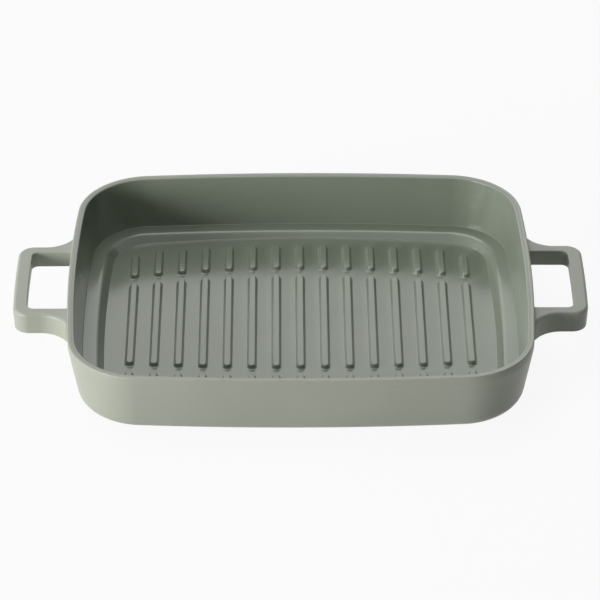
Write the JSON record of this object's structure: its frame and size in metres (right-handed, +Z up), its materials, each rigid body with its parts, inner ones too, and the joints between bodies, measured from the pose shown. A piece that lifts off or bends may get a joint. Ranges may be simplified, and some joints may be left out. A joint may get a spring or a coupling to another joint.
{
  "type": "grill pan",
  "caption": "Rectangular cast grill pan with interrupted ribs, a raised ledge round the floor and two loop handles.",
  "frame": {"origin": "on the table, under the middle of the pan", "axes": "+X towards the right handle, +Y towards the back, +Z up; the two handles lie along X"},
  "size_m": [0.3576, 0.242, 0.0434],
  "materials": {
    "pan_coat": "sage green ceramic coat, glossy inside and satin outside",
    "handle_coat": "satin sage green coat",
    "base_steel": "brushed"
  },
  "bodies": {
    "root": {"pan_body": "pan_coat", "left_handle": "handle_coat", "right_handle": "handle_coat", "induction_base": "base_steel"}
  },
  "joints": []
}
